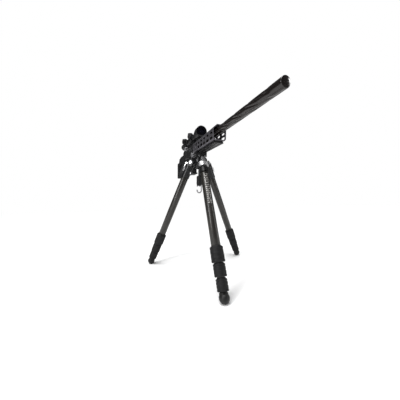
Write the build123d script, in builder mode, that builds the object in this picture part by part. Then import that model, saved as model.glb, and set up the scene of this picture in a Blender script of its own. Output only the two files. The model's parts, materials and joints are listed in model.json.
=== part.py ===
"""Three-legged carbon-tube stand with a levelling rail clamp, holding a solid, inert display dummy.

Millimetres. Z is up, the floor is Z = 0 and the stand's axis is X = Y = 0.
One leg (near) points to -Y, the others to the left (-X) and right (+X).
"""

import os
from math import cos, radians, sin

from build123d import *

# ---- stand: driving dimensions ----
splay = 25.4  # angle of a leg from the vertical, at its first stop
hinge_radius = 43.0  # from the stand's axis to a leg's hinge
hinge_height = 542.3
leg_offset = 7.0  # from the hinge outwards to the leg tube's axis
leg_azimuths = {"near": -90.0, "left": 150.0, "right": 30.0}
tube_radii = [18.0, 16.2, 14.4, 12.6]  # outside radii, upper tube to lower tube
tube_wall = 1.4
tube_tops = [20.5, 60.0, 66.0, 72.0]  # stations down the leg from the hinge
tube_ends = [440.0, 499.0, 545.0, 572.0]
lock_spans = [(420.5, 474.5), (479.5, 521.5), (527.5, 565.5)]
lock_radii = [24.5, 22.0, 20.0]
lock_lip = 3.0  # seal lip above a lock
socket_overlap = 20.5  # how far a tube's lower end sits in its lock
foot_radius = 18.0
run = 0.1  # radial gap of a running fit
slide_gap = 0.3  # radial gap of a lock's bore on the tube that slides in it

# ---- hinge, yoke and stop tab ----
lug_half = 11.8
yoke_inner = 12.2
yoke_outer = 21.0
yoke_round = 12.5
lug_round = 12.0
pin_radius = 5.0
sleeve_radius = 21.0
sleeve_top = 14.0
sleeve_end = 84.0
tab_inner = 21.4
tab_outer = 27.0
tab_span = (31.0, 53.0)
pinch_place = (-23.8, 51.0)  # outwards from the tube's axis, down the leg

# ---- levelling head ----
ball_height = 550.0
ball_radius = 25.0
shell_gap = 0.15
liner_thick = 1.2
bowl_radius = ball_radius + 2 * shell_gap + liner_thick
hub_radius = 29.5
hub_bottom = 512.0
stem_radius = 6.5
neck_radius = 17.0
handle_top = -76.0
handle_bottom = -127.0
handle_radius = 15.0
hook_wire = 3.0
hook_reach = 11.5
hook_bottom = -167.5

# ---- mounted item: pose and sizes ----
item_yaw = 5.43  # turned towards +X
item_pitch = -7.85  # front end down
bore_height = 633.7  # axis of the bar above the floor, over the stand's axis
rail_bottom = -46.0  # below the bar's axis
rail_half = 19.0
rail_lip = 2.0
rail_bevel = 4.0
rail_front = 243.0
rail_rear = -55.0
forend_half = 26.85
forend_front = 247.0
forend_rear = -30.0
forend_top = 21.0
forend_bottom = -37.0
forend_wall = 3.2
bar_front = 548.2
bar_root_radius = 15.3
bar_front_radius = 12.5
sight_height = 59.6
sight_tube = 17.0
sight_front = 33.0
sight_rear = -352.0
turret_place = -190.0

os.makedirs("parts", exist_ok=True)

yaw = radians(item_yaw)
pitch = radians(item_pitch)
side_dir = Vector(cos(yaw), sin(yaw), 0)
up_dir = Vector(-sin(yaw) * sin(pitch), cos(yaw) * sin(pitch), cos(pitch))
front_dir = Vector(sin(yaw) * cos(pitch), -cos(yaw) * cos(pitch), sin(pitch))
item = Plane(origin=(0, 0, bore_height), x_dir=side_dir, z_dir=up_dir)
head = Plane(origin=(0, 0, ball_height), x_dir=side_dir, z_dir=up_dir)


def save(part, label):
    """Labels a finished sub-part and writes it to its own file."""
    part.label = label
    export_step(part, f"parts/{label}.step")


def leg_frame(azimuth):
    """Frame on a leg's tube axis level with its hinge: x along the hinge, y outwards, z down the leg."""
    a = radians(azimuth)
    radial = Vector(cos(a), sin(a), 0)
    along = radial * sin(radians(splay)) + Vector(0, 0, -cos(radians(splay)))
    tangent = Vector(-sin(a), cos(a), 0)
    hinge = radial * hinge_radius + Vector(0, 0, hinge_height)
    outward = along.cross(tangent)
    return Plane(origin=hinge + outward * leg_offset, x_dir=tangent, z_dir=along)


def leg_side(frame):
    """Plane of a leg's side profile: first axis outwards from the tube axis, second axis down the leg."""
    return Plane(origin=frame.origin, x_dir=frame.y_dir, z_dir=frame.x_dir)


def item_section(base, forward):
    """Cross-section plane facing the item's front end: first axis to +X, second axis up."""
    return Plane(origin=base.origin + front_dir * forward, x_dir=side_dir, z_dir=front_dir)


def item_side(base, sideways=0.0):
    """Side profile plane: first axis forwards, second axis up. It faces away from +X."""
    return Plane(origin=base.origin + side_dir * sideways, x_dir=front_dir, z_dir=side_dir * -1)


# ---------------------------------------------------------------- apex
hub_profile = [
    (0, hub_bottom),
    (23.0, hub_bottom),
    (26.5, hub_bottom + 8),
    (28.0, 530.0),
    (hub_radius, 536.0),
    (hub_radius, ball_height + 1),
    (0, ball_height + 1),
]
throat_radius = 14.8
mouth_radius = 19.5
boss_height = 535.0
accessory_radius = 3.97  # tapping size of a 3/8-16 thread
accessory_depth = 12.0
accessory_face = 37.0

with BuildPart() as apex:
    with BuildSketch(Plane.XZ):
        with BuildLine():
            Polyline(*hub_profile, close=True)
        make_face()
    revolve(axis=Axis.Z)
    for azimuth in leg_azimuths.values():
        a = radians(azimuth)
        upright = Plane(origin=(0, 0, 0), x_dir=(cos(a), sin(a), 0), z_dir=(sin(a), -cos(a), 0))
        with BuildSketch(upright):
            with BuildLine():
                Polyline(
                    (20, hinge_height - lug_round),
                    (hinge_radius, hinge_height - lug_round),
                    (hinge_radius, hinge_height + 6.5),
                    (20, hinge_height + 6.5),
                    close=True,
                )
            make_face()
            with Locations((hinge_radius, hinge_height)):
                Circle(lug_round)
        extrude(amount=lug_half, both=True)
        frame = leg_frame(azimuth)
        # stop tooth above the tab's tip
        with BuildSketch(leg_side(frame)):
            with BuildLine():
                Polyline(
                    (6.0 - leg_offset, -6.0),
                    (17.5 - leg_offset, -3.0),
                    (17.5 - leg_offset, 3.7),
                    (6.0 - leg_offset, 3.7),
                    close=True,
                )
            make_face()
        extrude(amount=9.0, both=True)
    for azimuth in (210.0, -30.0):
        a = radians(azimuth)
        outer = Plane(origin=(20 * cos(a), 20 * sin(a), boss_height), z_dir=(cos(a), sin(a), 0))
        with BuildSketch(outer):
            Circle(8.5)
        extrude(amount=accessory_face - 20)
    # bowl, throat and mouth for the levelling ball and its stem
    with BuildSketch(Plane.XZ):
        with BuildLine():
            Polyline(
                (0, hub_bottom),
                (mouth_radius, hub_bottom),
                (throat_radius, ball_height - 21.98),
                (0, ball_height - 21.98),
                close=True,
            )
        make_face()
    revolve(axis=Axis.Z, mode=Mode.SUBTRACT)
    with Locations((0, 0, ball_height)):
        Sphere(bowl_radius, mode=Mode.SUBTRACT)
    for azimuth in leg_azimuths.values():
        a = radians(azimuth)
        cross = Plane(
            origin=(hinge_radius * cos(a), hinge_radius * sin(a), hinge_height), z_dir=(-sin(a), cos(a), 0)
        )
        with BuildSketch(cross):
            Circle(pin_radius + run / 2)
        extrude(amount=lug_half + 1, both=True, mode=Mode.SUBTRACT)
    for azimuth in (210.0, -30.0):
        a = radians(azimuth)
        face = Plane(
            origin=(accessory_face * cos(a), accessory_face * sin(a), boss_height), z_dir=(cos(a), sin(a), 0)
        )
        with BuildSketch(face):
            Circle(accessory_radius)
        extrude(amount=-accessory_depth, mode=Mode.SUBTRACT)
save(apex.part, "apex")


# ---------------------------------------------------------------- legs
def make_yoke(frame, label):
    """Casting at the top of a leg: two cheeks round the hinge, and the sleeve that holds the upper tube."""
    with BuildPart() as yoke:
        with BuildSketch(leg_side(frame)):
            with Locations((-leg_offset, 0)):
                Circle(yoke_round)
            with BuildLine():
                Polyline(
                    (-leg_offset - yoke_round, 0),
                    (-leg_offset + yoke_round, 0),
                    (-leg_offset + yoke_round + 5, sleeve_top + 4),
                    (-leg_offset - yoke_round + 3, sleeve_top + 4),
                    close=True,
                )
            make_face()
        extrude(amount=yoke_outer, both=True)
        with BuildSketch(frame.offset(sleeve_top)):
            Circle(sleeve_radius)
        extrude(amount=sleeve_end - sleeve_top)
        # ear of the pinch screw, on the inner side
        with BuildSketch(leg_side(frame)):
            with BuildLine():
                Polyline((-19, 40), (-27, 44), (-27, 58), (-19, 64), close=True)
            make_face()
        extrude(amount=7.0, both=True)
        with BuildSketch(frame.offset(sleeve_top - 30)):
            Rectangle(2 * yoke_inner, 90)
        extrude(amount=30, mode=Mode.SUBTRACT)
        with BuildSketch(frame.offset(tube_tops[0] - 0.5)):
            Circle(tube_radii[0] + 0.02)
        extrude(amount=sleeve_end, mode=Mode.SUBTRACT)
        with BuildSketch(leg_side(frame)):
            with Locations((-leg_offset, 0)):
                Circle(pin_radius + 0.02)
        extrude(amount=yoke_outer + 1, both=True, mode=Mode.SUBTRACT)
        with BuildSketch(leg_side(frame)):
            with Locations(pinch_place):
                Circle(2.02)
        extrude(amount=8, both=True, mode=Mode.SUBTRACT)
    save(yoke.part, label)


def make_bolts(frame, label):
    """Hinge bolt with a socket head at each end, and the pinch screw of the sleeve."""
    with BuildPart() as bolts:
        with BuildSketch(leg_side(frame)):
            with Locations((-leg_offset, 0)):
                Circle(pin_radius)
        extrude(amount=yoke_outer, both=True)
        for end in (1, -1):
            outer = leg_side(frame).offset(end * yoke_outer)
            with BuildSketch(outer):
                with Locations((-leg_offset, 0)):
                    Circle(8.5)
            extrude(amount=end * 4.0)
            with BuildSketch(leg_side(frame).offset(end * (yoke_outer + 4.0))):
                with Locations((-leg_offset, 0)):
                    RegularPolygon(3.4, 6)
            extrude(amount=-end * 3.0, mode=Mode.SUBTRACT)
        with BuildSketch(leg_side(frame).offset(-7.0)):
            with Locations(pinch_place):
                Circle(2.0)
        extrude(amount=14.0)
        with BuildSketch(leg_side(frame).offset(7.0)):
            with Locations(pinch_place):
                Circle(3.2)
        extrude(amount=3.0)
    save(bolts.part, label)


def make_tab(frame, label):
    """Pull-out stop tab: a curved grip round the front of the sleeve and a tongue that meets the stop tooth."""
    low, high = tab_span
    with BuildPart() as tab:
        with BuildSketch(frame.offset(low)):
            Circle(tab_outer)
            Circle(tab_inner, mode=Mode.SUBTRACT)
            with BuildLine():
                Polyline((0, 0), (60, 32), (60, -60), (-60, -60), (-60, 32), close=True)
            make_face(mode=Mode.SUBTRACT)
        extrude(amount=high - low)
        with BuildSketch(leg_side(frame)):
            with BuildLine():
                Polyline(
                    (13.2 - leg_offset, 4.0),
                    (25.0, 4.0),
                    (26.0, 6.0),
                    (26.0, low + 4),
                    (tab_inner + 0.4, low + 4),
                    (tab_inner + 0.4, 12.5),
                    (13.2 - leg_offset, 12.5),
                    close=True,
                )
            make_face()
        extrude(amount=9.0, both=True)
    save(tab.part, label)


def make_tube(frame, index, label):
    """One drawn carbon tube of the leg."""
    with BuildPart() as tube:
        with BuildSketch(frame.offset(tube_tops[index])):
            Circle(tube_radii[index])
            Circle(tube_radii[index] - tube_wall, mode=Mode.SUBTRACT)
        extrude(amount=tube_ends[index] - tube_tops[index])
    save(tube.part, label)


def make_lock(frame, index, label):
    """Twist lock: socket over the tube above, bore round the tube that slides, grip grooves and a seal lip."""
    start, end = lock_spans[index]
    radius = lock_radii[index]
    socket = tube_radii[index] + run
    bore = tube_radii[index + 1] + slide_gap
    lip = socket + 1.6
    groove = 1.0
    with BuildPart() as lock:
        with BuildSketch(leg_side(frame)):
            with BuildLine():
                Polyline(
                    (socket, start - lock_lip),
                    (lip, start - lock_lip),
                    (lip + 0.8, start),
                    (radius - 1.2, start),
                    (radius, start + 1.5),
                    (radius, end - 2.0),
                    (radius - 1.5, end),
                    (bore, end),
                    (bore, start + socket_overlap),
                    (socket, start + socket_overlap),
                    close=True,
                )
            make_face()
            length = end - start
            for share in (0.2, 0.5, 0.8):
                with Locations((radius, start + share * length)):
                    Rectangle(2 * groove, 2.4, mode=Mode.SUBTRACT)
        revolve(axis=Axis(frame.origin, frame.z_dir))
    save(lock.part, label)


def make_foot(frame, label):
    """Rubber ball foot with its neck, on the end of the lower tube."""
    foot_station = (hinge_height + leg_offset * sin(radians(splay)) - foot_radius) / cos(radians(splay))
    with BuildPart() as foot:
        with BuildSketch(frame.offset(568.0)):
            Circle(15.5)
        extrude(amount=6.0)
        centre = frame.origin + frame.z_dir * foot_station
        with Locations(centre):
            Sphere(foot_radius)
        with BuildSketch(frame.offset(560.0)):
            Circle(tube_radii[3] + 0.02)
        extrude(amount=tube_ends[3] - 560.0, mode=Mode.SUBTRACT)
    save(foot.part, label)


tube_names = ["upper_tube", "second_tube", "third_tube", "lower_tube"]
lock_names = ["upper_lock", "middle_lock", "lower_lock"]
for name, azimuth in leg_azimuths.items():
    frame = leg_frame(azimuth)
    make_yoke(frame, f"yoke_{name}")
    make_bolts(frame, f"leg_bolts_{name}")
    make_tab(frame, f"stop_tab_{name}")
    for index, tube_name in enumerate(tube_names):
        make_tube(frame, index, f"{tube_name}_{name}")
    for index, lock_name in enumerate(lock_names):
        make_lock(frame, index, f"{lock_name}_{name}")
    make_foot(frame, f"foot_{name}")


# ---------------------------------------------------------------- levelling head
head_axis = Axis(head.origin, head.z_dir)
head_profile = item_side(head)
liner_inner = ball_radius + shell_gap
liner_outer = liner_inner + liner_thick

# thin ring-shaped shell between the ball and the bowl
with BuildPart() as liner:
    with Locations(head.location):
        Sphere(liner_outer)
        Sphere(liner_inner, mode=Mode.SUBTRACT)
    with BuildSketch(head.offset(-2.0)):
        Circle(40)
    extrude(amount=40, mode=Mode.SUBTRACT)
    with BuildSketch(head.offset(-19.5)):
        Circle(40)
    extrude(amount=-20, mode=Mode.SUBTRACT)
save(liner.part, "bowl_liner")

with BuildPart() as ball:
    with Locations(head.location):
        Sphere(ball_radius)
    with BuildSketch(head.offset(3.0)):
        Circle(40)
    extrude(amount=40, mode=Mode.SUBTRACT)
    with BuildSketch(head.offset(-21.0)):
        Circle(40)
    extrude(amount=-20, mode=Mode.SUBTRACT)
    with BuildSketch(head.offset(2.0)):
        Circle(neck_radius)
    extrude(amount=9.0)
    with BuildSketch(head.offset(-20.0)):
        Circle(stem_radius)
    extrude(amount=handle_top + 20.0 - 18.0)
save(ball.part, "levelling_ball")

with BuildPart() as handle:
    with BuildSketch(head_profile):
        with BuildLine():
            Polyline(
                (stem_radius + run / 2, handle_top),
                (handle_radius - 4.0, handle_top),
                (handle_radius, handle_top - 5.0),
                (handle_radius, handle_bottom + 8.0),
                (handle_radius - 3.5, handle_bottom),
                (0, handle_bottom),
                (0, handle_top - 18.5),
                (stem_radius + run / 2, handle_top - 18.5),
                close=True,
            )
        make_face()
        for index in range(5):
            with Locations((handle_radius, handle_top - 10.0 - 7.0 * index)):
                Rectangle(1.6, 2.5, mode=Mode.SUBTRACT)
    revolve(axis=head_axis)
save(handle.part, "levelling_handle")

hook_bend = hook_bottom + hook_wire + hook_reach
with BuildPart() as hook:
    with BuildSketch(head.offset(handle_bottom - 0.1)):
        Circle(14.0)
    extrude(amount=-4.0)
    hook_plane = Plane(origin=head.origin, x_dir=side_dir, z_dir=front_dir)
    with BuildLine(hook_plane) as hook_line:
        Line((hook_reach, handle_bottom - 2.0), (hook_reach, hook_bend))
        ThreePointArc((hook_reach, hook_bend), (0, hook_bend - hook_reach), (-hook_reach, hook_bend))
        Line((-hook_reach, hook_bend), (-hook_reach, hook_bend + 5.0))
    with BuildSketch(head.offset(handle_bottom - 2.0)):
        with Locations((hook_reach, 0)):
            Circle(hook_wire)
    sweep(path=hook_line.wires()[0])
save(hook.part, "weight_hook")

clamp_half = 28.0  # half its length along the rail
clamp_low = 11.5
rail_seat = rail_bottom + (bore_height - ball_height) * cos(pitch)
jaw_gap = 0.15
block_low = 17.0

with BuildPart() as clamp:
    with BuildSketch(head.offset(clamp_low)):
        Circle(27.0)
    extrude(amount=block_low - clamp_low + 0.5)
    with BuildSketch(item_section(head, 0)):
        with BuildLine():
            Polyline(
                (-19.0, block_low),
                (24.5, block_low),
                (27.5, block_low + 3),
                (27.5, rail_seat + 5.5),
                (26.0, rail_seat + 7.0),
                (rail_half - rail_bevel + jaw_gap, rail_seat + 7.0),
                (rail_half - rail_bevel + jaw_gap, rail_seat + rail_lip + rail_bevel),
                (rail_half + jaw_gap, rail_seat + rail_lip),
                (rail_half + jaw_gap, rail_seat - 0.02),
                (-19.0, rail_seat - 0.02),
                close=True,
            )
        make_face()
    extrude(amount=clamp_half, both=True)
    # screw hole and two guide holes, open towards -X
    with BuildSketch(item_side(head, -19.0)):
        with Locations((0, 27.0)):
            Circle(4.05)
        with Locations((17, 24.0), (-17, 24.0)):
            Circle(3.05)
    extrude(amount=-26.0, mode=Mode.SUBTRACT)
save(clamp.part, "clamp_base")

with BuildPart() as jaw:
    with BuildSketch(item_section(head, 0)):
        with BuildLine():
            Polyline(
                (-19.1, block_low + 0.6),
                (-26.0, block_low + 0.6),
                (-29.0, block_low + 4),
                (-29.0, rail_seat + 5.0),
                (-27.0, rail_seat + 7.0),
                (-rail_half + rail_bevel - jaw_gap, rail_seat + 7.0),
                (-rail_half + rail_bevel - jaw_gap, rail_seat + rail_lip + rail_bevel),
                (-rail_half - jaw_gap, rail_seat + rail_lip),
                close=True,
            )
        make_face()
    extrude(amount=clamp_half, both=True)
    with BuildSketch(item_side(head, -22.0)):
        with Locations((17, 24.0), (-17, 24.0)):
            Circle(3.0)
    extrude(amount=-23.0)
    with BuildSketch(item_side(head, -18.0)):
        with Locations((0, 27.0)):
            Circle(4.1)
    extrude(amount=12.0, mode=Mode.SUBTRACT)
save(jaw.part, "clamp_jaw")

with BuildPart() as clamp_knob:
    with BuildSketch(item_side(head, -29.1)):
        with Locations((0, 27.0)):
            Circle(6.5)
    extrude(amount=4.0)
    with BuildSketch(item_side(head, -33.1)):
        with Locations((0, 27.0)):
            Circle(11.5)
            with PolarLocations(11.9, 12):
                Circle(1.6, mode=Mode.SUBTRACT)
    extrude(amount=13.0)
    with BuildSketch(item_side(head, -29.1)):
        with Locations((0, 27.0)):
            Circle(4.0)
    extrude(amount=-34.0)
save(clamp_knob.part, "clamp_knob")

with BuildPart() as clamp_bolts:
    for sideways in (-15.0, 17.0):
        with BuildSketch(item_section(head, clamp_half)):
            with Locations((sideways, 22.0)):
                Circle(4.2)
        extrude(amount=3.4)
        with BuildSketch(item_section(head, clamp_half + 3.4)):
            with Locations((sideways, 22.0)):
                RegularPolygon(2.0, 6)
        extrude(amount=-2.0, mode=Mode.SUBTRACT)
save(clamp_bolts.part, "clamp_bolts")

with BuildPart() as level:
    with BuildSketch(item_section(head, -clamp_half)):
        with Locations((8.0, 28.0)):
            Circle(6.5)
    extrude(amount=-5.0)
save(level.part, "bubble_level")

# ---------------------------------------------------------------- mounted display dummy
with BuildPart() as rail:
    with BuildSketch(item_section(item, rail_rear)):
        with BuildLine():
            Polyline(
                (-rail_half, rail_bottom),
                (rail_half, rail_bottom),
                (rail_half, rail_bottom + rail_lip),
                (rail_half - rail_bevel, rail_bottom + rail_lip + rail_bevel),
                (rail_half - rail_bevel, forend_bottom),
                (rail_bevel - rail_half, forend_bottom),
                (rail_bevel - rail_half, rail_bottom + rail_lip + rail_bevel),
                (-rail_half, rail_bottom + rail_lip),
                close=True,
            )
        make_face()
    extrude(amount=rail_front - rail_rear)
save(rail.part, "dovetail_rail")


def forend_outline(inset):
    """Corners of the forend's eight-sided section, moved in by a wall."""
    half = forend_half - inset
    top = forend_top - inset
    bottom = forend_bottom + inset
    return [
        (-12, top),
        (12, top),
        (half, 6),
        (half, bottom + 5),
        (half - 5, bottom),
        (5 - half, bottom),
        (-half, bottom + 5),
        (-half, 6),
    ]


slot_pitch = 39.5
slot_front = 225.0
slot_rows = [(-25.0, 30.5, 13.0, 5), (-6.5, 24.5, 8.5, 6)]  # height, length, width, count

with BuildPart() as forend:
    with BuildSketch(item_section(item, forend_rear)):
        with BuildLine():
            Polyline(*forend_outline(0), close=True)
        make_face()
    extrude(amount=forend_front - forend_rear)
    with BuildSketch(item_section(item, forend_rear + 4)):
        with BuildLine():
            Polyline(*forend_outline(forend_wall), close=True)
        make_face()
    extrude(amount=forend_front - forend_rear, mode=Mode.SUBTRACT)
    for height, length, width, count in slot_rows:
        with BuildSketch(item_side(item)):
            for index in range(count):
                with Locations((slot_front - slot_pitch * index, height)):
                    SlotOverall(length, width)
        extrude(amount=40, both=True, mode=Mode.SUBTRACT)
    # rear plate's hole for the bar
    with BuildSketch(item_section(item, forend_rear - 1)):
        Circle(bar_root_radius + 0.1)
    extrude(amount=8, mode=Mode.SUBTRACT)
save(forend.part, "forend_shell")

with BuildPart() as bar:
    with BuildSketch(item_side(item)):
        with BuildLine():
            Polyline(
                (forend_rear, 0),
                (bar_front, 0),
                (bar_front, bar_front_radius - 1.5),
                (bar_front - 1.5, bar_front_radius),
                (forend_rear, bar_root_radius),
                close=True,
            )
        make_face()
    revolve(axis=Axis(item.origin, front_dir))
save(bar.part, "solid_bar")

body_front = forend_rear - 0.1
body_rear = -292.0
with BuildPart() as body:
    with BuildSketch(item_side(item)):
        with BuildLine():
            Polyline(
                (body_front, -36),
                (body_front, 20.9),
                (body_rear + 30, 20.9),
                (body_rear, 8),
                (body_rear, -34),
                (-232, -44),
                (-150, -46),
                (-146, -62),
                (-70, -62),
                (-66, -46),
                (-58, -36),
                close=True,
            )
        make_face()
    extrude(amount=21.0, both=True)
    chamfer(body.edges().filter_by(lambda e: abs(e.tangent_at(0).dot(front_dir)) > 0.999), length=3.0)
save(body.part, "body_block")

with BuildPart() as lower_block:
    with BuildSketch(item_side(item)):
        with BuildLine():
            Polyline((-75, -62.1), (-141, -62.1), (-137, -141), (-75, -136), close=True)
        make_face()
    extrude(amount=11.0, both=True)
    with BuildSketch(item_side(item)):
        with BuildLine():
            Polyline((-72, -135.5), (-140, -140.5), (-139, -148), (-72, -143), close=True)
        make_face()
    extrude(amount=15.0, both=True)
save(lower_block.part, "lower_block")

with BuildPart() as side_knob:
    with BuildSketch(item_side(item, -21.1)):
        with Locations((-150, 6)):
            Circle(5.0)
    extrude(amount=12.0)
    with BuildSketch(item_side(item, -30.0)):
        with Locations((-150, 6)):
            Circle(11.0)
    extrude(amount=15.0)
    chamfer(side_knob.faces().sort_by(Axis(item.origin, side_dir))[0].edges(), length=3.0)
save(side_knob.part, "side_knob")

top_rail_front = 20.0
top_rail_rear = -262.0
cross_pitch = 10.0
with BuildPart() as top_rail:
    with BuildSketch(item_section(item, top_rail_rear)):
        with BuildLine():
            Polyline(
                (-8, forend_top),
                (8, forend_top),
                (8, 24.5),
                (10.6, 27),
                (8.4, 30.4),
                (-8.4, 30.4),
                (-10.6, 27),
                (-8, 24.5),
                close=True,
            )
        make_face()
    extrude(amount=top_rail_front - top_rail_rear)
    with BuildSketch(item_side(item)):
        for index in range(int((top_rail_front - top_rail_rear) / cross_pitch) - 1):
            with Locations((top_rail_front - 10.0 - cross_pitch * index, 30.4)):
                Rectangle(5.2, 6.0)
    extrude(amount=20, both=True, mode=Mode.SUBTRACT)
save(top_rail.part, "top_rail")

with BuildPart() as grip:
    with BuildSketch(item_side(item)):
        with BuildLine():
            Polyline((-236, -44.8), (-276, -40), (-300, -118), (-296, -128), (-268, -130), close=True)
        make_face()
    extrude(amount=15.0, both=True)
    chamfer(grip.edges().filter_by(lambda e: abs(e.tangent_at(0).dot(side_dir)) < 0.01), length=4.0)
save(grip.part, "grip")

with BuildPart() as stock:
    with BuildSketch(item_side(item)):
        with BuildLine():
            Polyline(
                (-292.1, 6),
                (-316, -8),
                (-452, -10),
                (-470, -36),
                (-502, -36),
                (-502, -158),
                (-478, -158),
                (-452, -122),
                (-330, -70),
                (-292.1, -33),
                close=True,
            )
        make_face()
        with BuildLine():
            Polyline((-350, -52), (-462, -56), (-474, -110), (-440, -98), (-352, -60), close=True)
        make_face(mode=Mode.SUBTRACT)
    extrude(amount=17.0, both=True)
save(stock.part, "stock")

with BuildPart() as butt_pad:
    with BuildSketch(item_side(item)):
        with BuildLine():
            Polyline(
                (-502.1, -36),
                (-524, -38),
                (-529, -60),
                (-526, -98),
                (-529, -140),
                (-524, -158),
                (-502.1, -158),
                close=True,
            )
        make_face()
    extrude(amount=18.5, both=True)
save(butt_pad.part, "butt_pad")

sight = Plane(origin=item.origin + up_dir * sight_height, x_dir=side_dir, z_dir=up_dir)
sight_axis = Axis(sight.origin, front_dir)

with BuildPart() as sight_mount:
    with BuildSketch(item_side(item)):
        with Locations((-178, 34.6)):
            Rectangle(170, 8.0)
    extrude(amount=13.0, both=True)
    for place in (-110.0, -250.0):
        with BuildSketch(item_section(item, place - 9)):
            with Locations((0, 42)):
                Rectangle(30, 16)
            with Locations((0, sight_height)):
                Circle(22.5)
                Rectangle(52, 9)
            with Locations((0, sight_height)):
                Circle(sight_tube + 0.05, mode=Mode.SUBTRACT)
        extrude(amount=18)
save(sight_mount.part, "sight_mount")

zoom_front = -279.0
zoom_rear = -303.0
with BuildPart() as sight_tube_part:
    with BuildSketch(item_side(sight)):
        with BuildLine():
            Polyline(
                (sight_front - 16, 0),
                (sight_front - 16, 25.0),
                (sight_front, 25.5),
                (sight_front, 27.85),
                (-2, 27.85),
                (-14, 26.0),
                (-62, sight_tube),
                (-158, sight_tube),
                (-162, 20.5),
                (-218, 20.5),
                (-222, sight_tube),
                (zoom_front + 0.2, sight_tube),
                (zoom_front + 0.2, 16.0),
                (zoom_rear - 0.2, 16.0),
                (zoom_rear - 0.2, 21.5),
                (sight_rear + 6, 22.5),
                (sight_rear, 21.5),
                (sight_rear, 18.2),
                (sight_rear + 10, 18.0),
                (sight_rear + 10, 0),
                close=True,
            )
        make_face()
    revolve(axis=sight_axis)
    # turret saddle
    for direction, reach in ((up_dir, 26.0), (side_dir, 24.0), (side_dir * -1, 24.0)):
        with BuildSketch(Plane(origin=sight.origin + front_dir * turret_place, z_dir=direction)):
            Circle(13.5)
        extrude(amount=reach)
save(sight_tube_part.part, "sight_body")

with BuildPart() as lenses:
    with BuildSketch(item_section(sight, sight_front - 15.9)):
        Circle(24.8)
    extrude(amount=4.0)
    with BuildSketch(item_section(sight, sight_rear + 9.9)):
        Circle(17.7)
    extrude(amount=-3.0)
save(lenses.part, "sight_lenses")


def make_turret(direction, base, height, radius, label):
    """Dial cap on the sight: knurled skirt under a plain top."""
    origin = sight.origin + front_dir * turret_place + direction * (base + 0.1)
    with BuildPart() as turret:
        with BuildSketch(Plane(origin=origin, z_dir=direction)):
            Circle(radius)
            with PolarLocations(radius + 0.3, 24):
                Circle(0.9, mode=Mode.SUBTRACT)
        extrude(amount=height * 0.55)
        with BuildSketch(Plane(origin=origin + direction * (height * 0.55), z_dir=direction)):
            Circle(radius - 1.6)
        extrude(amount=height * 0.45)
    save(turret.part, label)


make_turret(up_dir, 26.0, 26.0, 17.0, "elevation_turret")
make_turret(side_dir * -1, 24.0, 24.0, 16.5, "windage_turret")
make_turret(side_dir, 24.0, 20.0, 16.5, "focus_turret")

with BuildPart() as zoom_ring:
    with BuildSketch(item_section(sight, zoom_rear)):
        Circle(21.5)
        Circle(16.0 + run / 2, mode=Mode.SUBTRACT)
        with PolarLocations(22.0, 24):
            Circle(1.0, mode=Mode.SUBTRACT)
    extrude(amount=zoom_front - zoom_rear)
save(zoom_ring.part, "zoom_ring")
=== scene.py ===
"""Looks of the carbon-tube tripod and the inert display dummy clamped on it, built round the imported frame.

Metres. Z is up, the floor is Z = 0 and the stand's axis is X = Y = 0.
"""

import json
from math import cos, pi, radians, sin

import bmesh
import bpy
from mathutils import Matrix, Vector


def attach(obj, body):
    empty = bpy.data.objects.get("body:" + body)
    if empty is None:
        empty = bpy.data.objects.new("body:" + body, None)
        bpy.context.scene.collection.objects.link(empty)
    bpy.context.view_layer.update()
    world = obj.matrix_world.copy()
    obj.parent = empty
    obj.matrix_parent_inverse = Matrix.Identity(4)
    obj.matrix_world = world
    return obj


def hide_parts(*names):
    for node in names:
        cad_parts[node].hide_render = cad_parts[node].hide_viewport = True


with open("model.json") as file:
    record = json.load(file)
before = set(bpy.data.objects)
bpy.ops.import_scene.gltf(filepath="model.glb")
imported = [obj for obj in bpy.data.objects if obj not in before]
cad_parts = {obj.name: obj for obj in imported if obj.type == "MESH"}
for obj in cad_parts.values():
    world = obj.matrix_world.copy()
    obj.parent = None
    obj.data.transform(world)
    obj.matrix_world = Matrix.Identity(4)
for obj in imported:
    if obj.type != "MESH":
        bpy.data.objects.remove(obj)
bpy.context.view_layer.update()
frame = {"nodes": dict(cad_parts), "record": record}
MM = 0.001
TAU = 2 * pi
NODES = frame["nodes"]

# ---------------------------------------------------------------- frames, as the CAD has them
SPLAY = radians(25.4)
AZIMUTHS = {"near": -90.0, "left": 150.0, "right": 30.0}
HINGE_RADIUS = 43 * MM
HINGE_HEIGHT = 542.3 * MM
LEG_OFFSET = 7 * MM
YAW = radians(5.43)
PITCH = radians(-7.85)
SIDE = Vector((cos(YAW), sin(YAW), 0))
UP = Vector((-sin(YAW) * sin(PITCH), cos(YAW) * sin(PITCH), cos(PITCH)))
FRONT = Vector((sin(YAW) * cos(PITCH), -cos(YAW) * cos(PITCH), sin(PITCH)))
HEAD_HEIGHT = 550 * MM
ITEM_HEIGHT = 633.7 * MM
SIGHT_RISE = 59.6 * MM
TURRET_SETBACK = 190 * MM
HEAD = Vector((0, 0, HEAD_HEIGHT))
ITEM = Vector((0, 0, ITEM_HEIGHT))
SIGHT = ITEM + UP * SIGHT_RISE
TURRET = SIGHT - FRONT * TURRET_SETBACK


def leg_axes(name):
    """Origin on the leg tube's axis level with the hinge, then across, outwards and down the leg."""
    a = radians(AZIMUTHS[name])
    radial = Vector((cos(a), sin(a), 0))
    along = radial * sin(SPLAY) - Vector((0, 0, cos(SPLAY)))
    across = Vector((-sin(a), cos(a), 0))
    out = along.cross(across)
    hinge = radial * HINGE_RADIUS + Vector((0, 0, HINGE_HEIGHT))
    return hinge + out * LEG_OFFSET, across, out, along


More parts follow.
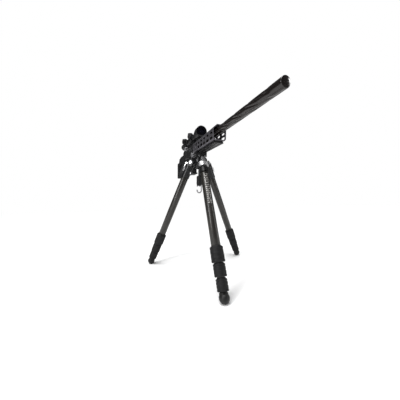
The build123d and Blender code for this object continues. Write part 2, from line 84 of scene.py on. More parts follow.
# ---------------------------------------------------------------- materials
class Tree:
    """Short names for the shader nodes that the materials share."""

    def __init__(self, name):
        self.mat = bpy.data.materials.new(name)
        self.mat.use_nodes = True
        self.tree = self.mat.node_tree
        self.tree.nodes.clear()
        self.out = self.node("ShaderNodeOutputMaterial")
        self.shader = self.node("ShaderNodeBsdfPrincipled")
        self.link(self.shader.outputs["BSDF"], self.out.inputs["Surface"])
        self.place = self.node("ShaderNodeTexCoord").outputs["Object"]

    def node(self, kind):
        return self.tree.nodes.new(kind)

    def link(self, a, b):
        self.tree.links.new(a, b)

    def math(self, kind, a, b=None):
        n = self.node("ShaderNodeMath")
        n.operation = kind
        for i, v in enumerate((a, b)):
            if v is None:
                continue
            if isinstance(v, (int, float)):
                n.inputs[i].default_value = v
            else:
                self.link(v, n.inputs[i])
        return n.outputs[0]

    def noise(self, scale, detail=3.0, rough=0.55, stretch=None):
        at = self.place
        if stretch:
            m = self.node("ShaderNodeMapping")
            m.inputs["Scale"].default_value = stretch
            self.link(at, m.inputs["Vector"])
            at = m.outputs[0]
        n = self.node("ShaderNodeTexNoise")
        n.inputs["Scale"].default_value = scale
        n.inputs["Detail"].default_value = detail
        n.inputs["Roughness"].default_value = rough
        self.link(at, n.inputs["Vector"])
        return n.outputs["Fac"]

    def ramp(self, fac, stops):
        n = self.node("ShaderNodeValToRGB")
        e = n.color_ramp.elements
        while len(e) < len(stops):
            e.new(0.5)
        for k, (at, col) in zip(e, stops):
            k.position = at
            k.color = (*col, 1) if hasattr(col, "__len__") else (col, col, col, 1)
        self.link(fac, n.inputs[0])
        return n.outputs[0]

    def span(self, fac, lo, hi, a=0.3, b=0.7):
        n = self.node("ShaderNodeMapRange")
        n.inputs["From Min"].default_value = a
        n.inputs["From Max"].default_value = b
        n.inputs["To Min"].default_value = lo
        n.inputs["To Max"].default_value = hi
        self.link(fac, n.inputs["Value"])
        return n.outputs[0]

    def bump(self, height, depth, strength=1.0, under=None):
        n = self.node("ShaderNodeBump")
        n.inputs["Distance"].default_value = depth
        n.inputs["Strength"].default_value = strength
        self.link(height, n.inputs["Height"])
        if under is not None:
            self.link(under, n.inputs["Normal"])
        return n.outputs[0]

    def set(self, **values):
        for k, v in values.items():
            s = self.shader.inputs[k.replace("_", " ")]
            if hasattr(v, "links") or isinstance(v, bpy.types.NodeSocket):
                self.link(v, s)
            else:
                s.default_value = v

    def mix(self, fac, a, b):
        n = self.node("ShaderNodeMix")
        n.data_type = "RGBA"
        self.link(fac, n.inputs["Factor"])
        for sock, v in ((n.inputs[6], a), (n.inputs[7], b)):
            if isinstance(v, bpy.types.NodeSocket):
                self.link(v, sock)
            else:
                sock.default_value = (*v, 1)
        return n.outputs[2]


def shade(col, k):
    return tuple(c * k for c in col)


def metal(name, col, rough, metallic, grain=900.0, depth=0.00002, wear=None, streak=None, coat=0.0):
    """Anodised, blasted or machined metal: uneven sheen, fine grain and lighter rubbed edges."""
    t = Tree(name)
    cloud = t.noise(38, 4)
    colour = t.ramp(cloud, [(0.3, shade(col, 0.93)), (0.7, shade(col, 1.07))])
    if wear:
        edge = t.node("ShaderNodeNewGeometry").outputs["Pointiness"]
        patches = t.span(t.noise(160, 3), 0.1, 1, 0.42, 0.62)
        spot = t.math("MULTIPLY", t.span(edge, 0, 0.6, 0.56, 0.66), patches)
        colour = t.mix(spot, colour, wear)
    grains = t.noise(grain, 2, stretch=streak)
    t.set(Base_Color=colour, Metallic=metallic, Roughness=t.span(t.noise(60, 3), rough * 0.82, rough * 1.2))
    t.set(Normal=t.bump(grains, depth), Coat_Weight=coat, Coat_Roughness=0.12)
    return t.mat


def polymer(name, col, rough, grain=420.0, depth=0.00012, specular=0.5):
    """Moulded plastic or rubber: pebbled grain, a little dust and unevenly rubbed sheen."""
    t = Tree(name)
    colour = t.ramp(t.noise(45, 4), [(0.32, shade(col, 0.8)), (0.68, shade(col, 1.25))])
    v = t.node("ShaderNodeTexVoronoi")
    v.inputs["Scale"].default_value = grain
    t.link(t.place, v.inputs["Vector"])
    fine = t.bump(v.outputs["Distance"], depth, 0.7)
    t.set(Base_Color=colour, Roughness=t.span(t.noise(85, 3), rough * 0.86, min(1.0, rough * 1.12)))
    t.set(Normal=t.bump(t.noise(130, 3), depth, 0.4, fine), Specular_IOR_Level=specular)
    return t.mat


def carbon(name):
    """Clear-coated carbon tube: 2 by 2 twill that follows the tube, whose UV is metres round and down it."""
    t = Tree(name)
    uv = t.node("ShaderNodeUVMap")
    uv.uv_map = "UVMap"
    sep = t.node("ShaderNodeSeparateXYZ")
    t.link(uv.outputs[0], sep.inputs[0])
    tow = 0.0021
    u = t.math("DIVIDE", sep.outputs[0], tow)
    v = t.math("DIVIDE", sep.outputs[1], tow)
    cell = t.math("ADD", t.math("FLOOR", u), t.math("FLOOR", v))
    twill = t.math("LESS_THAN", t.math("FLOORED_MODULO", cell, 4.0), 1.9)
    arch_u = t.math("ABSOLUTE", t.math("SINE", t.math("MULTIPLY", u, pi)))
    arch_v = t.math("ABSOLUTE", t.math("SINE", t.math("MULTIPLY", v, pi)))
    pick = t.node("ShaderNodeMix")
    pick.data_type = "FLOAT"
    t.link(twill, pick.inputs["Factor"])
    t.link(arch_u, pick.inputs[2])
    t.link(arch_v, pick.inputs[3])
    height = pick.outputs[0]
    cloud = t.noise(30, 4)
    warp = t.ramp(cloud, [(0.3, (0.042, 0.037, 0.027)), (0.7, (0.072, 0.063, 0.047))])
    weft = t.ramp(cloud, [(0.3, (0.014, 0.013, 0.011)), (0.7, (0.026, 0.023, 0.019))])
    t.set(Base_Color=t.mix(twill, warp, weft), Metallic=0.25, Roughness=t.span(height, 0.5, 0.36, 0, 1))
    t.set(Normal=t.bump(height, 0.00006, 0.55), Coat_Weight=0.55, Coat_Roughness=0.2)
    return t.mat


def glass(name, col, rim_reflection, rough=0.02):
    """Coated lens or vial: the given colour face on, and a painted reflection in the rim colour towards the
    rim, by viewing angle. For the lens, the near-black face is painted shade of the sight's dark inside.
    """
    t = Tree(name)
    lw = t.node("ShaderNodeLayerWeight")
    lw.inputs["Blend"].default_value = 0.35
    # Painted reflection: the rim colour is mixed in by viewing angle.
    edge = t.math("MULTIPLY", lw.outputs["Facing"], t.span(t.noise(25, 2), 0.75, 1.0))
    t.set(Base_Color=t.mix(edge, col, rim_reflection), Metallic=0.15)
    t.set(Roughness=t.span(t.noise(120, 2), rough, rough * 2))
    t.set(Coat_Weight=0.35, Coat_Roughness=0.02, Specular_IOR_Level=0.35)
    return t.mat


CASTING_WEAR = (0.06, 0.06, 0.065)
GREY_WEAR = (0.42, 0.42, 0.44)
MATS = {
    "carbon_tube": carbon("carbon_weave"),
    "lock_grip": polymer("lock_rubber", (0.011, 0.011, 0.0115), 0.5, 700, 0.00008, 0.3),
    "black_casting": metal("black_casting", (0.012, 0.012, 0.013), 0.34, 0.2, 1500, 0.00003, CASTING_WEAR),
    "bright_steel": metal("bright_steel", (0.34, 0.34, 0.35), 0.3, 1.0, 700, 0.00001, None, (1, 1, 14)),
    "satin_tab": metal("satin_tab", (0.60, 0.60, 0.61), 0.4, 0.9, 600, 0.00001, None, (9, 1, 1)),
    "foot_rubber": polymer("foot_rubber", (0.010, 0.010, 0.010), 0.42, 520, 0.00008, 0.4),
    "liner_plastic": polymer("liner_plastic", (0.045, 0.045, 0.045), 0.5, 900, 0.00003),
    "grey_anodised": metal("grey_anodised", (0.145, 0.14, 0.155), 0.4, 0.7, 1800, 0.00002, GREY_WEAR),
    "black_rail": metal("black_rail", (0.008, 0.008, 0.009), 0.34, 0.1, 1500, 0.00002, (0.2, 0.2, 0.2)),
    "gloss_bar": metal("gloss_bar", (0.012, 0.009, 0.008), 0.22, 0.2, 500, 0.00001, None, (3, 3, 3), 0.6),
    "body_black": metal("body_black", (0.014, 0.014, 0.015), 0.34, 0.25, 1600, 0.00002, (0.2, 0.2, 0.2)),
    "polymer": polymer("stock_polymer", (0.012, 0.012, 0.013), 0.5, 900, 0.0001, 0.3),
    "pad_rubber": polymer("pad_rubber", (0.012, 0.012, 0.012), 0.8, 600, 0.0002, 0.35),
    "sight_black": metal("sight_black", (0.011, 0.011, 0.012), 0.38, 0.25, 1700, 0.00002, (0.15, 0.15, 0.15)),
    # Lens and vial rims carry a painted reflection colour. The lens face is near-black as painted shade of
    # the sight's dark inside.
    "lens_glass": glass("lens_glass", (0.002, 0.002, 0.004), (0.02, 0.018, 0.07)),
    "level_glass": glass("level_glass", (0.30, 0.50, 0.06), (0.75, 0.85, 0.35)),
}
PALE = polymer("pale_print", (0.55, 0.54, 0.52), 0.5, 1500, 0.00001)
# Near-black colour for the sheets set in the hinge bolts' sockets: painted shade.
SOCKET_SHADE = polymer("socket_painted_shade", (0.006, 0.006, 0.006), 0.7, 900, 0.00002)
SCREW = metal("screw_black", (0.05, 0.05, 0.055), 0.3, 0.9)


# ---------------------------------------------------------------- mesh helpers
def publish(bm, name, body, slot, replaces=(), mat=None, sharp=32.0, smooth=True):
    """Turns bmesh into a finished piece that rides on its body. Print and screws have no slot, only a mat."""
    bm.normal_update()
    mesh = bpy.data.meshes.new(name)
    bm.to_mesh(mesh)
    bm.free()
    mesh.materials.append(mat or MATS[slot])
    if smooth:
        mesh.polygons.foreach_set("use_smooth", [True] * len(mesh.polygons))
        mesh.set_sharp_from_angle(angle=radians(sharp))
    obj = bpy.data.objects.new(name, mesh)
    bpy.context.scene.collection.objects.link(obj)
    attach(obj, body)
    if replaces:
        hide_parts(*replaces)
    return obj


def lathe(bm, origin, axis, across, rows, segments=96, closed=False, wave=None, ends=True):
    """Turned form of (place, radius) rows. wave(place, radius, angle, row) changes the radius."""
    axis = axis.normalized()
    x = across.normalized()
    y = axis.cross(x)
    rings = []
    uv = bm.loops.layers.uv.verify()
    for i, (s, r) in enumerate(rows):
        ring = []
        for j in range(segments):
            a = TAU * j / segments
            rr = wave(s, r, a, i) if wave else r
            ring.append(bm.verts.new(origin + axis * s + x * (rr * cos(a)) + y * (rr * sin(a))))
        rings.append(ring)
    span = len(rows) if closed else len(rows) - 1
    for i in range(span):
        k = (i + 1) % len(rows)
        width = max(rows[i][1], rows[k][1])
        for j in range(segments):
            m = (j + 1) % segments
            f = bm.faces.new((rings[i][j], rings[i][m], rings[k][m], rings[k][j]))
            places = ((j, i), (j + 1, i), (j + 1, k), (j, k))
            for loop, (jj, ii) in zip(f.loops, places):
                loop[uv].uv = (TAU * jj / segments * width, rows[ii][0])
    if not closed and ends:
        bm.faces.new(list(reversed(rings[0])))
        bm.faces.new(rings[-1])
    return rings


def fix_normals(bm):
    bmesh.ops.recalc_face_normals(bm, faces=bm.faces)


def dense(points, step):
    """Adds rows between (place, radius) corners, no further apart than step."""
    out = []
    for (s0, r0), (s1, r1) in zip(points, points[1:]):
        n = max(1, int(((s1 - s0) ** 2 + (r1 - r0) ** 2) ** 0.5 / step))
        out += [(s0 + (s1 - s0) * k / n, r0 + (r1 - r0) * k / n) for k in range(n)]
    return out + [points[-1]]


def extrude_outline(bm, origin, u, v, w, outline, low, high):
    """Prism of an outline in the u, v plane from low to high along w."""
    a = [bm.verts.new(origin + u * p + v * q + w * low) for p, q in outline]
    b = [bm.verts.new(origin + u * p + v * q + w * high) for p, q in outline]
    n = len(outline)
    bm.faces.new(list(reversed(a)))
    bm.faces.new(b)
    for i in range(n):
        j = (i + 1) % n
        bm.faces.new((a[i], a[j], b[j], b[i]))


def soften(bm, width, segments=3, angle=20.0):
    """Rounds every edge sharper than the angle."""
    bm.normal_update()
    edges = [e for e in bm.edges if len(e.link_faces) == 2 and e.calc_face_angle(0) > radians(angle)]
    bmesh.ops.bevel(
        bm, geom=edges, offset=width, segments=segments, profile=0.6, affect="EDGES", clamp_overlap=True
    )


# ---------------------------------------------------------------- carried-over CAD nodes
def finish_cad(name, slot, width):
    """A CAD node whose shape is right: its own mesh, with welded, rounded edges and its material."""
    obj = NODES[name]
    obj.data.materials.clear()
    obj.data.materials.append(MATS[slot])
    weld = obj.modifiers.new("weld", "WELD")
    weld.merge_threshold = 0.000004
    bevel = obj.modifiers.new("edge", "BEVEL")
    bevel.width = width * MM
    bevel.segments = 2
    bevel.limit_method = "ANGLE"
    bevel.angle_limit = radians(28)
    bevel.use_clamp_overlap = True
    normal = obj.modifiers.new("normal", "WEIGHTED_NORMAL")
    normal.keep_sharp = False
    normal.weight = 80


SLOTS = {s["node"]: s["material_slot"] for s in frame["record"]["subparts"]}

# ---------------------------------------------------------------- legs
TUBES = [
    ("upper_tube", 18.0, 20.5, 440.0),
    ("second_tube", 16.2, 60.0, 499.0),
    ("third_tube", 14.4, 66.0, 545.0),
    ("lower_tube", 12.6, 72.0, 572.0),
]
WALL = 1.4
LOCKS = [
    ("upper_lock", 420.5, 474.5, 24.5, 18.1, 16.5),
    ("middle_lock", 479.5, 521.5, 22.0, 16.3, 14.7),
    ("lower_lock", 527.5, 565.5, 20.0, 14.5, 12.9),
]
SOCKET = 20.5
LIP = 3.0
TUBE_BODY = {"upper_tube": "leg", "second_tube": "second", "third_tube": "third", "lower_tube": "tip"}


def scaled(rows):
    return [(s * MM, r * MM) for s, r in rows]


def build_tube(leg, index):
    origin, across, out, along = leg_axes(leg)
    kind, radius, top, end = TUBES[index]
    inner = radius - WALL
    bm = bmesh.new()
    rows = [(top, inner + 0.3), (top, radius - 0.35), (top + 0.35, radius), (end - 0.35, radius)]
    rows += [(end, radius - 0.35), (end, inner + 0.3), (end - 0.3, inner), (top + 0.3, inner)]
    lathe(bm, origin, along, across, scaled(rows), 96, closed=True)
    fix_normals(bm)
    name = f"{kind}_{leg}"
    publish(bm, f"carbon_{name}", f"{TUBE_BODY[kind]}_{leg}", "carbon_tube", (name,), sharp=50)


def build_lock(leg, index):
    """Twist lock with three ribbed bands, smooth grooves between them and a thin seal lip."""
    origin, across, out, along = leg_axes(leg)
    kind, start, end, radius, socket, bore = LOCKS[index]
    length = end - start
    lip = socket + 1.6
    grooves = [start + length * k for k in (0.2, 0.5, 0.8)]
    rows = [(start - LIP, socket), (start - LIP, lip - 0.5), (start - LIP + 0.5, lip)]
    rows += [(start - 0.3, lip + 0.7), (start, radius - 1.9), (start + 0.5, radius - 0.9)]
    rows += [(start + 1.6, radius)]
    for g in grooves:
        rows += [(g - 1.9, radius), (g - 1.2, radius - 0.35), (g - 0.9, radius - 0.98)]
        rows += [(g + 0.9, radius - 0.98), (g + 1.2, radius - 0.35), (g + 1.9, radius)]
    rows += [(end - 2.4, radius), (end - 1.0, radius - 0.7), (end, radius - 1.6), (end, bore + 0.3)]
    rows += [(end - 0.3, bore), (start + SOCKET, bore), (start + SOCKET, socket)]
    full = []
    for (s0, r0), (s1, r1) in zip(rows, rows[1:] + rows[:1]):
        full.append((s0, r0))
        if r0 == r1 == radius and s1 - s0 > 3:
            full += [(s0 + 0.6, r0), (s1 - 0.6, r1)]
    ribs = 54

    def wave(s, r, a, row):
        if r < (radius - 0.05) * MM:
            return r
        inside = full[row - 1][1] == radius and full[(row + 1) % len(full)][1] == radius
        if not inside:
            return r
        notch = max(0.0, cos(ribs * a)) ** 2
        return r - 0.55 * MM * notch

    bm = bmesh.new()
    lathe(bm, origin, along, across, scaled(full), 240, closed=True, wave=wave)
    fix_normals(bm)
    name = f"{kind}_{leg}"
    publish(bm, f"ribbed_{name}", name, "lock_grip", (name,), sharp=40)


def build_foot(leg):
    """Ball foot: collar with a groove, neck, and a ball with tread rings."""
    origin, across, out, along = leg_axes(leg)
    sole = (HINGE_HEIGHT / MM + 7.0 * sin(SPLAY) - 18.0) / cos(SPLAY)
    rows = [(568.0, 14.8), (568.7, 15.5), (570.0, 15.5), (570.4, 14.9), (571.4, 14.9), (571.8, 15.5)]
    rows += [(573.6, 15.5)]
    ball = 18.0
    first = -0.55
    steps = 44
    for k in range(steps):
        c = first + (1 - first) * k / steps
        r = (1 - c * c) ** 0.5
        tread = 0.35 if k % 6 in (2, 3) and 8 < k < 38 else 0.0
        rows.append((sole + (ball - tread) * c, (ball - tread) * r))
    bm = bmesh.new()
    lathe(bm, origin, along, across, scaled(rows), 80)
    fix_normals(bm)
    publish(bm, f"ball_foot_{leg}", f"tip_{leg}", "foot_rubber", (f"foot_{leg}",), sharp=40)


def build_print(leg):
    """Plain pale dashes down the front of the upper tube, where the real one carries lettering."""
    origin, across, out, along = leg_axes(leg)
    bm = bmesh.new()
    radius = 18.05 * MM
    for row in range(16):
        station = 100.0 + 9.5 * row
        split = (0, 5.0, -3.0, 2.0)[row % 4]
        for low, high in ((-9.0, split - 1.6), (split + 1.6, 9.0)):
            grid = []
            for s in (station, station + 2.6):
                ring = []
                for k in range(7):
                    a = (low + (high - low) * k / 6) / 18.0
                    round_tube = out * cos(a) + across * sin(a)
                    ring.append(bm.verts.new(origin + along * (s * MM) + round_tube * radius))
                grid.append(ring)
            for k in range(6):
                bm.faces.new((grid[0][k], grid[0][k + 1], grid[1][k + 1], grid[1][k]))
    fix_normals(bm)
    bmesh.ops.solidify(bm, geom=bm.faces[:], thickness=-0.00008)
    publish(bm, f"pale_dashes_{leg}", f"leg_{leg}", None, (), PALE)


def build_bolts(leg):
    """Hinge bolt with a dished head at each end, a near-black sheet of painted shade in each head's socket,
    and the sleeve's pinch screw.
    """
    origin, across, out, along = leg_axes(leg)
    hinge = origin - out * LEG_OFFSET
    bm = bmesh.new()
    rows = [(-21.0, 5.0), (21.0, 5.0)]
    lathe(bm, hinge, across, out, scaled(rows), 48)
    for end in (1, -1):
        head = [(21.0, 8.2), (21.3, 8.5), (24.0, 8.5), (25.0, 7.6)]
        head += [(25.0, 5.6), (24.2, 4.7), (24.2, 3.4), (22.2, 3.2)]
        lathe(bm, hinge, across * end, out, scaled(head), 60)
    pinch = origin - out * (23.8 * MM) + along * (51.0 * MM)
    lathe(bm, pinch, across, out, scaled([(-7.0, 2.0), (7.0, 2.0)]), 24)
    head = [(7.0, 3.0), (7.2, 3.2), (9.6, 3.2), (10.0, 2.8), (10.0, 1.5), (8.4, 1.4)]
    lathe(bm, pinch, across, out, scaled(head), 36)
    fix_normals(bm)
    publish(bm, f"dished_bolts_{leg}", f"leg_{leg}", "bright_steel", (f"leg_bolts_{leg}",), sharp=34)
    # Painted shade: near-black six-sided sheets sit in the socket recesses, where shade falls.
    bm = bmesh.new()
    for end in (1, -1):
        lathe(bm, hinge, across * end, out, scaled([(22.3, 3.3), (22.6, 3.3)]), 6)
    fix_normals(bm)
    publish(bm, f"bolt_socket_shade_{leg}", f"leg_{leg}", None, (), SOCKET_SHADE, smooth=False)


for leg in AZIMUTHS:
    build_bolts(leg)
    for index in range(4):
        build_tube(leg, index)
    for index in range(3):
        build_lock(leg, index)
    build_foot(leg)
build_print("near")

# ---------------------------------------------------------------- dummy: solid bar with spiral flutes
FLUTES = 6
TWIST = TAU / 0.42
FLUTE_DEPTH = 1.7 * MM


def bar_wave(s, r, a, row):
    if not 0.262 < s < 0.520:
        return r
    edge = min(1.0, (s - 0.262) / 0.02, (0.520 - s) / 0.02)
    c = cos(FLUTES * (a - TWIST * s))
    groove = max(0.0, (c - 0.05) / 0.95) ** 0.75
    return r - FLUTE_DEPTH * edge * groove


bm = bmesh.new()
bar_rows = dense([(-0.030, 0.0153), (0.5467, 0.01251)], 0.0022)
bar_rows += [(0.5477, 0.0121), (0.5482, 0.0112)]
lathe(bm, ITEM, FRONT, SIDE, bar_rows, 144, wave=bar_wave)
fix_normals(bm)
publish(bm, "fluted_bar", "dummy", "gloss_bar", ("solid_bar",), sharp=60)

# ---------------------------------------------------------------- sight
sight_rows = [
    (17.2, 24.9), (31.6, 25.6), (33.0, 26.2), (33.0, 27.3), (32.4, 27.85), (27.0, 27.85), (26.4, 27.4),
    (25.4, 27.4), (24.8, 27.85), (-1.0, 27.85), (-5.0, 27.5), (-13.0, 26.1), (-17.0, 25.2), (-58.0, 17.9),
    (-62.5, 17.2), (-66.0, 17.0), (-157.0, 17.0), (-158.6, 17.4), (-161.6, 20.2), (-163.0, 20.5),
    (-217.0, 20.5), (-218.4, 20.2), (-221.4, 17.4), (-223.0, 17.0), (-274.0, 17.0), (-276.0, 17.0),
    (-278.8, 16.9), (-278.8, 16.02), (-303.2, 16.02), (-303.2, 21.0), (-303.8, 21.5), (-344.0, 22.4),
    (-346.0, 22.5), (-350.6, 22.1), (-352.0, 21.2), (-352.0, 18.9), (-351.2, 18.3), (-342.0, 18.0),
]
bm = bmesh.new()
lathe(bm, SIGHT, FRONT, SIDE, scaled(sight_rows), 120)
for direction, level in ((UP, 26.0), (SIDE, 24.0), (SIDE * -1, 24.0)):
    rows = [(14.0, 13.5), (level - 1.4, 13.5), (level - 0.9, 13.1), (level - 0.4, 13.5), (level, 13.3)]
    lathe(bm, TURRET, direction, FRONT, scaled(rows), 72)
fix_normals(bm)
publish(bm, "sight_shell", "dummy", "sight_black", ("sight_body",), sharp=34)

bm = bmesh.new()
for place, radius, dome in ((17.1, 24.8, 4.0), (-342.1, 17.7, -3.0)):
    rows = [(place, radius)]
    for k in range(1, 9):
        a = k / 8 * pi / 2
        rows.append((place + dome * sin(a), max(0.6, radius * cos(a * 0.985))))
    lathe(bm, SIGHT, FRONT, SIDE, scaled(rows), 72)
fix_normals(bm)
publish(bm, "coated_lenses", "dummy", "lens_glass", ("sight_lenses",), sharp=50)


def dial(name, direction, base, height, radius, body, node):
    """Sight dial: knurled skirt, plain neck, finely knurled cap and a shallow round recess in the top."""
    base += 0.1
    skirt = height * 0.55
    rows = [(base, radius - 0.8), (base + 0.6, radius), (base + 1.2, radius), (base + 1.8, radius)]
    rows += [(base + skirt - 1.6, radius), (base + skirt - 1.0, radius), (base + skirt - 0.4, radius - 0.5)]
    cap = radius - 1.65
    rows += [(base + skirt, cap - 0.8), (base + skirt + 1.0, cap - 0.8), (base + skirt + 1.5, cap)]
    rows += [(base + skirt + 2.1, cap), (base + height - 2.6, cap), (base + height - 2.0, cap)]
    rows += [(base + height - 0.9, cap - 0.3), (base + height, cap - 1.4), (base + height, cap - 4.6)]
    rows += [(base + height - 0.7, cap - 5.2), (base + height - 0.7, 0.8)]
    ribbed = {3: 36, 4: 36, 10: 48, 11: 48}

    def wave(s, r, a, row):
        count = ribbed.get(row)
        return r - 0.55 * MM * max(0.0, cos(count * a)) if count else r

    bm = bmesh.new()
    lathe(bm, TURRET, direction, FRONT, scaled(rows), 288, wave=wave)
    fix_normals(bm)
    publish(bm, f"dial_{name}", body, "sight_black", (node,), sharp=38)
    bm = bmesh.new()
    ticks = 24
    x = FRONT.normalized()
    y = direction.cross(x)
    for k in range(ticks):
        a = TAU * k / ticks
        tall = 2.2 if k % 4 == 0 else 1.2
        rad = x * cos(a) + y * sin(a)
        tang = direction.cross(rad)
        place = TURRET + rad * (radius * MM - 0.00001)
        extrude_outline(bm, place, tang, direction, rad, [
            (-0.00016, (base + 0.2) * MM + 0.0004), (0.00016, (base + 0.2) * MM + 0.0004),
            (0.00016, (base + 0.2 + tall) * MM), (-0.00016, (base + 0.2 + tall) * MM)], -0.0002, 0.00006)
    fix_normals(bm)
    publish(bm, f"ticks_{name}", body, None, (), PALE, smooth=False)


dial("elevation", UP, 26.0, 26.0, 17.0, "elevation", "elevation_turret")
dial("windage", SIDE * -1, 24.0, 24.0, 16.5, "windage", "windage_turret")
dial("focus", SIDE, 24.0, 20.0, 16.5, "focus", "focus_turret")

zoom_rows = [(-303.0, 16.06), (-303.0, 20.9), (-302.4, 21.5), (-301.6, 21.5), (-301.0, 21.5), (-281.0, 21.5)]
zoom_rows += [(-280.4, 21.5), (-279.6, 21.3), (-279.0, 20.7), (-279.0, 16.06)]


def zoom_wave(s, r, a, row):
    return r - 0.8 * MM * max(0.0, cos(30 * a)) ** 1.5 if row in (4, 5) else r


bm = bmesh.new()
lathe(bm, SIGHT, FRONT, SIDE, scaled(zoom_rows), 240, closed=True, wave=zoom_wave)
fix_normals(bm)
publish(bm, "ribbed_zoom_ring", "zoom", "sight_black", ("zoom_ring",), sharp=38)

# ---------------------------------------------------------------- levelling handle
handle_rows = [(-94.5, 6.55), (-76.0, 6.55), (-76.0, 10.6), (-76.6, 11.2), (-80.6, 14.7), (-81.5, 15.0)]
for k in range(5):
    m = -86.0 - 7.0 * k
    handle_rows += [(m + 2.0, 15.0), (m + 1.5, 14.8), (m + 1.2, 14.25), (m - 1.2, 14.25), (m - 1.5, 14.8)]
    handle_rows += [(m - 2.0, 15.0)]
handle_rows += [(-118.6, 15.0), (-120.0, 14.6), (-126.2, 11.9), (-127.0, 11.0), (-127.0, 0.6), (-94.5, 0.6)]


def handle_wave(s, r, a, row):
    if r < 14.95 * MM or row < 7 or row > len(handle_rows) - 6:
        return r
    return r - 0.5 * MM * max(0.0, cos(26 * a)) ** 2


bm = bmesh.new()
lathe(bm, HEAD, UP, SIDE, scaled(handle_rows), 208, closed=True, wave=handle_wave)
fix_normals(bm)
publish(bm, "ribbed_handle", "handle", "lock_grip", ("levelling_handle",), sharp=40)

# ---------------------------------------------------------------- clamp knob with finger scallops
KNOB = HEAD + UP * 0.027
knob_rows = [(29.1, 6.2), (29.4, 6.5), (33.1, 6.5), (33.1, 10.6), (33.6, 11.4), (34.4, 11.4), (44.6, 11.4)]
knob_rows += [(45.4, 11.2), (46.0, 10.4), (46.1, 9.0), (45.4, 8.2), (45.4, 0.6)]


def knob_wave(s, r, a, row):
    return r - 1.5 * MM * max(0.0, cos(12 * a)) ** 2 if 3 <= row <= 8 else r


bm = bmesh.new()
lathe(bm, KNOB, SIDE * -1, UP, scaled(knob_rows), 144, wave=knob_wave)
lathe(bm, KNOB, SIDE * -1, UP, scaled([(-4.8, 3.6), (-4.4, 4.0), (29.2, 4.0)]), 48)
fix_normals(bm)
publish(bm, "scalloped_knob", "clamp_knob", "bright_steel", ("clamp_knob",), sharp=34)

# ---------------------------------------------------------------- dovetail rail with lightening channels
outline = [(-19, -45.6), (-18.6, -46), (-12.2, -46), (-11.4, -44.6), (-5.0, -44.6), (-4.2, -46), (4.2, -46)]
outline += [(5.0, -44.6), (11.4, -44.6), (12.2, -46), (18.6, -46), (19, -45.6), (19, -44), (15, -40)]
outline += [(15, -37), (-15, -37), (-15, -40), (-19, -44)]
bm = bmesh.new()
extrude_outline(bm, ITEM, SIDE, UP, FRONT, scaled(outline), -0.055, 0.243)
fix_normals(bm)
soften(bm, 0.25 * MM, 1, 25)
publish(bm, "channelled_rail", "dummy", "black_rail", ("dovetail_rail",), sharp=30)


# ---------------------------------------------------------------- screws
def screw(bm, place, direction, radius, height, hexagon=0.5):
    """Socket-head screw standing on a face: bevelled head with a six-sided socket."""
    across = direction.orthogonal().normalized()
    rows = [(0.0, radius), (height * 0.8, radius), (height, radius * 0.86), (height, radius * hexagon)]
    rings = lathe(bm, place, direction, across, [(s * MM, r * MM) for s, r in rows], 36, ends=False)
    y = direction.normalized().cross(across)
    bottom = []
    for j in range(36):
        a = TAU * j / 36
        k = radius * hexagon * 0.96 * MM
        hexa = k * cos(pi / 6) / cos((a % (pi / 3)) - pi / 6)
        bottom.append(bm.verts.new(
            place + direction * (height * 0.35 * MM) + across * (hexa * cos(a)) + y * (hexa * sin(a))))
    top = rings[-1]
    for j in range(36):
        m = (j + 1) % 36
        bm.faces.new((top[j], top[m], bottom[m], bottom[j]))
    bm.faces.new(bottom)
    bm.faces.new(list(reversed(rings[0])))


bm = bmesh.new()
for place in (-110.0, -250.0):
    for l in (-22.6, 22.6):
        for shift in (-4.5, 4.5):
            spot = SIGHT + FRONT * ((place + shift) * MM) + SIDE * (l * MM) + UP * (4.4 * MM)
            screw(bm, spot, UP, 2.2, 1.6)
for f, l in ((-110.0, -1), (-250.0, -1), (-110.0, 1), (-250.0, 1)):
    spot = ITEM + FRONT * (f * MM) + SIDE * (l * 14.9 * MM) + UP * (40.0 * MM)
    screw(bm, spot, SIDE * l, 3.4, 2.2)
for f in (-18.0, 8.0, 34.0):
    for l in (-1, 1):
        spot = ITEM + FRONT * (f * MM) + SIDE * (l * 26.8 * MM) + UP * (-2.0 * MM)
        screw(bm, spot, SIDE * l, 2.6, 1.2)
for f, u in ((-60.0, -20.0), (-270.0, -16.0)):
    for l in (-1, 1):
        spot = ITEM + FRONT * (f * MM) + SIDE * (l * 20.9 * MM) + UP * (u * MM)
        screw(bm, spot, SIDE * l, 3.2, 1.4)
for f, u in ((-320.0, -20.0), (-488.0, -60.0), (-488.0, -120.0)):
    for l in (-1, 1):
        spot = ITEM + FRONT * (f * MM) + SIDE * (l * 16.9 * MM) + UP * (u * MM)
        screw(bm, spot, SIDE * l, 3.0, 1.2)
fix_normals(bm)
publish(bm, "dummy_screws", "dummy", None, (), SCREW)

# ---------------------------------------------------------------- stop tab grip ridges
TAB_RADIUS = 26.95
for leg in AZIMUTHS:
    origin, across, out, along = leg_axes(leg)
    bm = bmesh.new()
    for s in (35.5, 39.5, 43.5, 47.5):
        grid = []
        for ds, dr in ((-0.9, 0.0), (-0.5, 0.55), (0.5, 0.55), (0.9, 0.0)):
            row = []
            for k in range(17):
                a = radians(-46 + 92 * k / 16)
                round_tab = out * cos(a) + across * sin(a)
                place = along * ((s + ds) * MM) + round_tab * ((TAB_RADIUS + dr) * MM)
                row.append(bm.verts.new(origin + place))
            grid.append(row)
        for i in range(3):
            for k in range(16):
                bm.faces.new((grid[i][k], grid[i][k + 1], grid[i + 1][k + 1], grid[i + 1][k]))
    fix_normals(bm)
    publish(bm, f"tab_ridges_{leg}", f"tab_{leg}", "satin_tab", (), sharp=40)

# ---------------------------------------------------------------- lower block with ribs and base plate
bm = bmesh.new()


